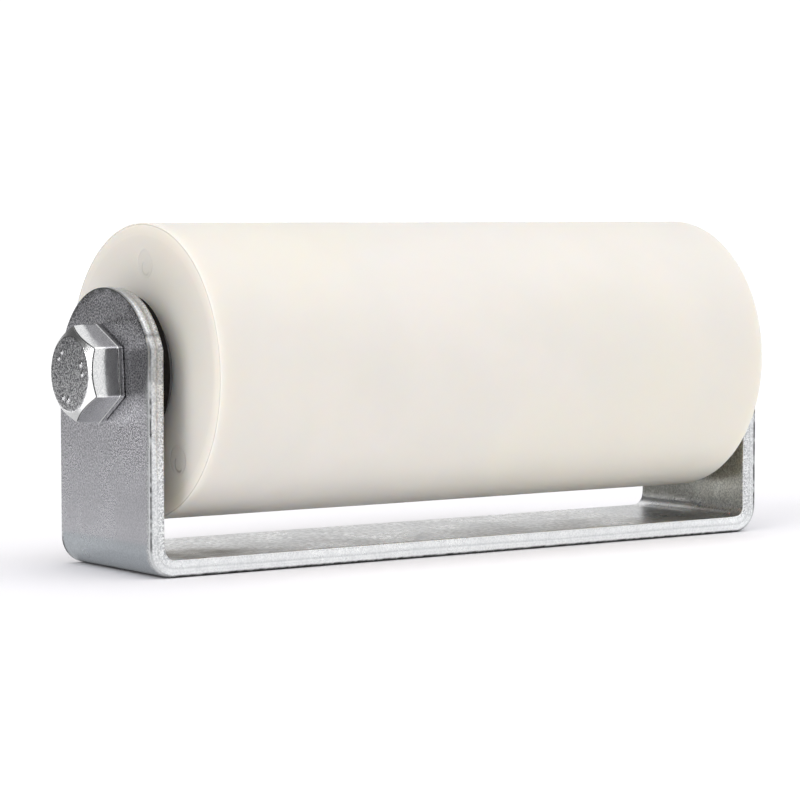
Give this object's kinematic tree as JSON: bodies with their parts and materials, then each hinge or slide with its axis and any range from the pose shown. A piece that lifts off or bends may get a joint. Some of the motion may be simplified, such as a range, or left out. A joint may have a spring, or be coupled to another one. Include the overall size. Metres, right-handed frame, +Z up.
{
  "type": "bow roller",
  "caption": "Solid plastic roller that turns on a bolt between the ears of a bent flat-bar steel bracket.",
  "frame": {"origin": "centre of the underside of the bracket's base", "axes": "+Z up from the base to the roller, +X along the roller's axis away from the bolt's head, +Y across the bracket"},
  "size_m": [0.2511, 0.084, 0.098],
  "materials": {
    "zinc_plated_bar": "bright zinc plating over fine-grained bar, matt on the faces and brighter on the edges",
    "roller_plastic": "natural off-white polyamide with a satin turned surface",
    "bush_plastic": "dark grey acetal, satin",
    "tube_steel": "drawn steel tube, zinc plated",
    "washer_black": "black, matt with a slightly polished rim",
    "bolt_zinc": "bright zinc plating on a forged head",
    "nut_zinc": "bright zinc plating",
    "ring_nylon": "translucent white polyamide"
  },
  "bodies": {
    "frame": {"bracket": "zinc_plated_bar", "spacer_tube": "tube_steel", "end_washer_left": "washer_black", "end_washer_right": "washer_black", "axle_bolt": "bolt_zinc", "lock_nut": "nut_zinc", "lock_nut_ring": "ring_nylon"},
    "roller": {"roller": "roller_plastic", "bush_left": "bush_plastic", "bush_right": "bush_plastic"}
  },
  "joints": [
    {"name": "roller_spin", "type": "hinge", "parent": "frame", "child": "roller", "pos_m": [0, 0, 0.056], "axis": [1, 0, 0], "continuous": true}
  ]
}
